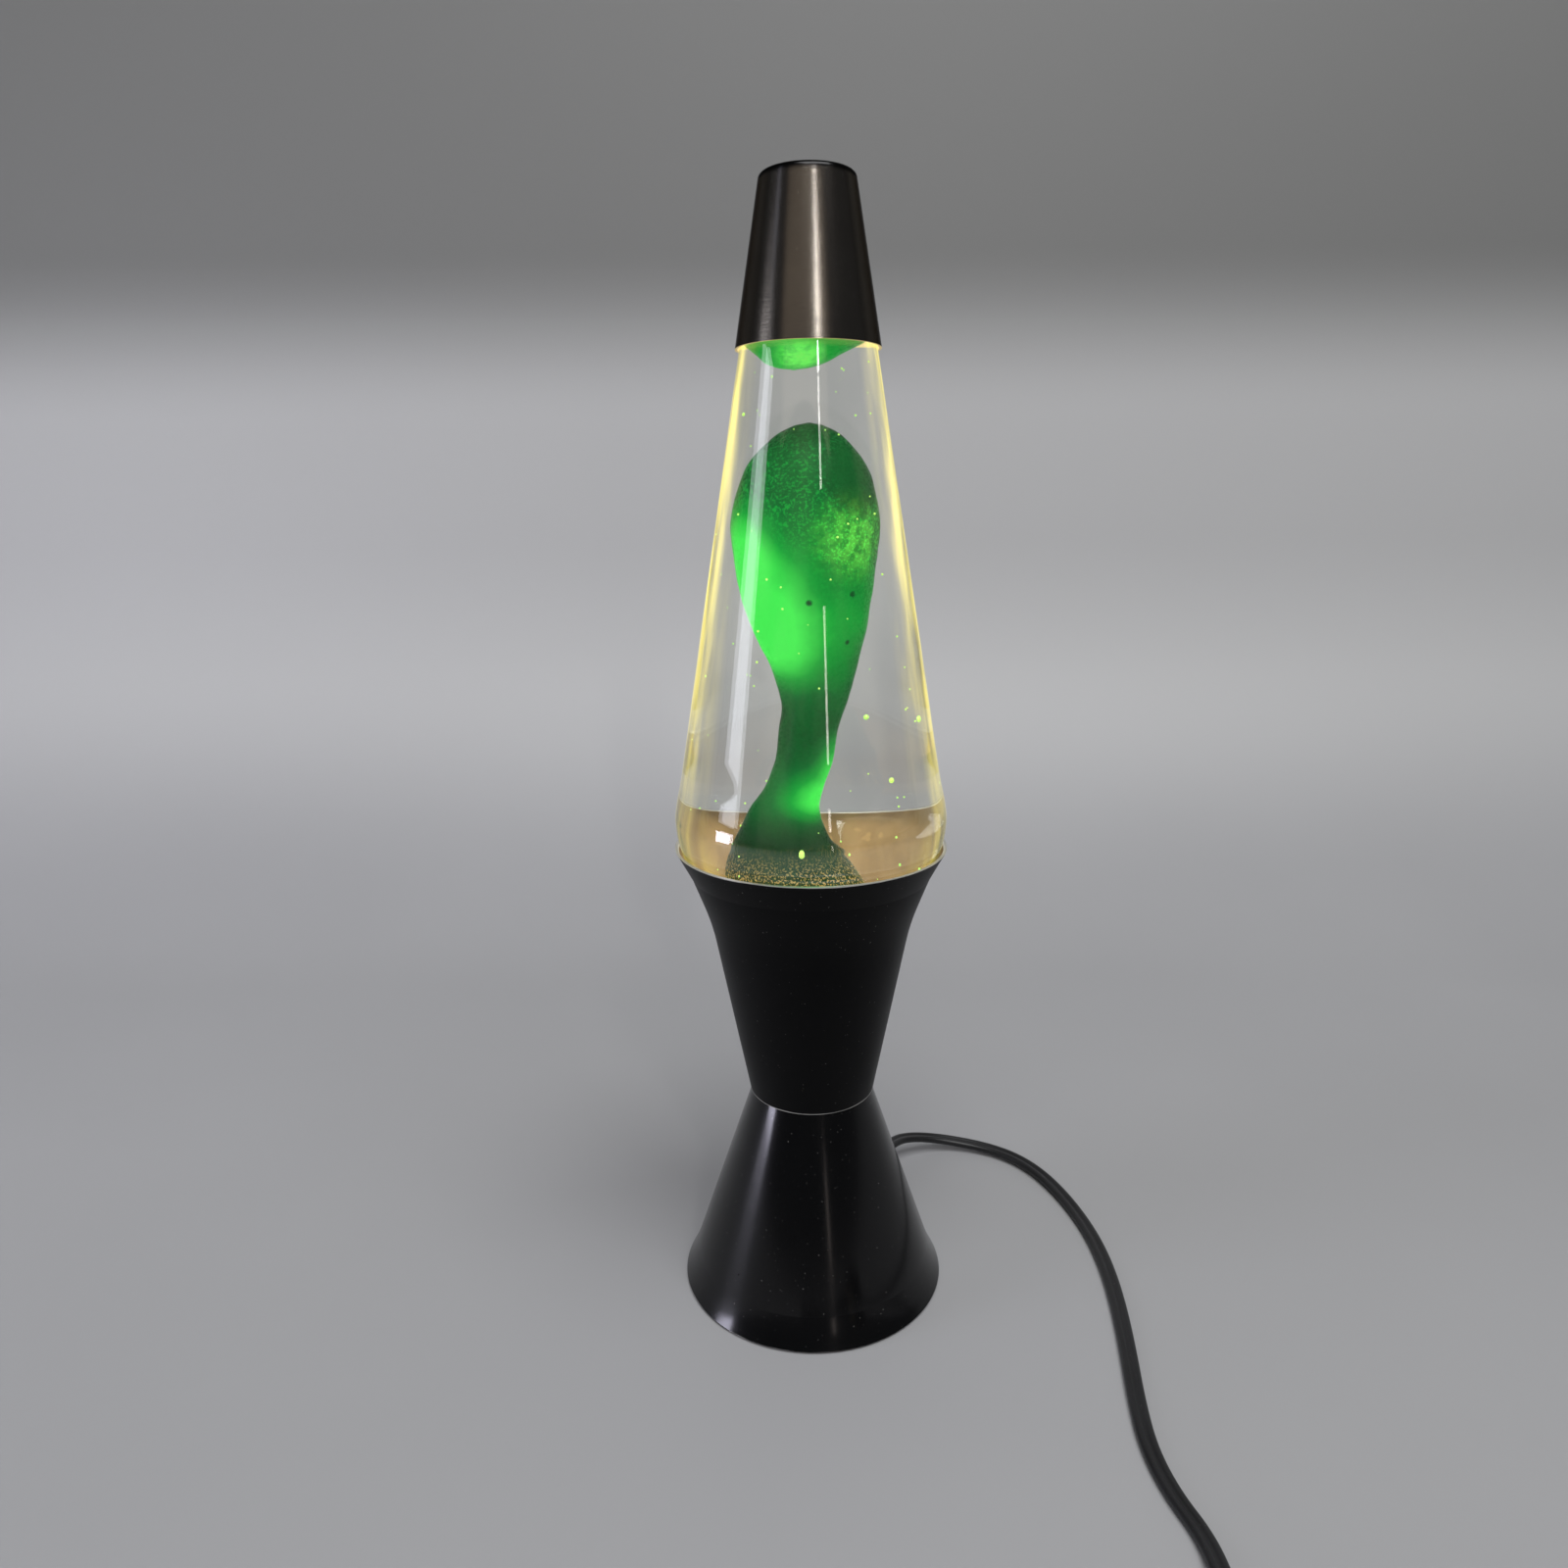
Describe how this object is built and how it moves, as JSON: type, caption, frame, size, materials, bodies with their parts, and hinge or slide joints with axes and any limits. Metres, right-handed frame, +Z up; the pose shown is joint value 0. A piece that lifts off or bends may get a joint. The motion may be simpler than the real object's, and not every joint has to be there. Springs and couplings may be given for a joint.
{
  "type": "lava lamp",
  "caption": "Table lamp with an hourglass spun-metal base, a tapering glass globe of liquid and rising wax, a metal cap and a corded switch.",
  "frame": {"origin": "on the lamp's axis at table level, under the centre of the foot", "axes": "+Z up along the lamp's axis; -Y towards the front; the cord leaves at the back, 60 degrees from +X"},
  "size_m": [0.1738, 0.3297, 0.368],
  "materials": {
    "black_paint": "satin black lacquer on spun aluminium",
    "cap_metal": "turned gunmetal",
    "clear_glass": "blown soda-lime glass",
    "bulb_glass": "thin clear bulb glass",
    "liquid": "clear pale yellow liquid",
    "wax": "soft green wax",
    "spring_wire": "bright copper-washed spring wire",
    "crown_metal": "tinplate",
    "liner": "soft sealing disc",
    "steel": "zinc-plated steel",
    "brass": "bright brass",
    "tungsten": "glowing filament",
    "solder": "solder",
    "insulator": "black glass insulator",
    "holder_moulding": "dark phenolic moulding",
    "cover_moulding": "black moulding",
    "foot_rubber": "soft black rubber",
    "cord_pvc": "flexible black PVC",
    "wire_pvc": "wire insulation",
    "switch_moulding": "moulded black plastic",
    "plug_moulding": "moulded black PVC"
  },
  "bodies": {
    "base": {"base_cone": "black_paint", "base_cup": "black_paint", "socket_plate": "steel", "waist_rivets": "steel", "socket_body": "holder_moulding", "socket_shell": "brass", "socket_ring": "holder_moulding", "socket_contact": "brass", "terminal_screws": "brass", "bottom_cover": "cover_moulding", "rubber_feet": "foot_rubber", "strain_relief": "cord_pvc", "live_wire": "wire_pvc", "neutral_wire": "wire_pvc", "cord_front": "cord_pvc", "cord_link": "cord_pvc", "cord_tail": "cord_pvc", "cord_coil": "cord_pvc", "coil_tie": "foot_rubber", "switch_lower": "switch_moulding", "switch_upper": "switch_moulding", "rocker_pin": "steel", "switch_contacts": "brass", "plug_body": "plug_moulding", "plug_blades": "brass"},
    "globe": {"globe": "clear_glass", "liquid": "liquid", "wax_column": "wax", "wax_pool": "wax", "wire_coil": "spring_wire", "crown_cap": "crown_metal", "crown_liner": "liner"},
    "cap": {"cap": "cap_metal"},
    "bulb": {"bulb_tip": "solder", "bulb_insulator": "insulator", "bulb_screw_base": "brass", "bulb_envelope": "bulb_glass", "bulb_stem": "bulb_glass", "bulb_filament": "tungsten"},
    "rocker": {"switch_rocker": "switch_moulding"}
  },
  "joints": [
    {"name": "globe_lift", "type": "slide", "parent": "base", "child": "globe", "axis": [0, 0, 1], "range_m": [0, 0.06]},
    {"name": "cap_lift", "type": "slide", "parent": "globe", "child": "cap", "axis": [0, 0, 1], "range_m": [0, 0.06]},
    {"name": "bulb_turn", "type": "hinge", "parent": "base", "child": "bulb", "pos_m": [0, 0, 0.075], "axis": [0, 0, 1], "range_deg": [0, 1440]},
    {"name": "rocker_tilt", "type": "hinge", "parent": "base", "child": "rocker", "pos_m": [0.1105, -0.176, 0.0086], "axis": [-0.9848, -0.1736, 0], "range_deg": [0, 16]}
  ]
}
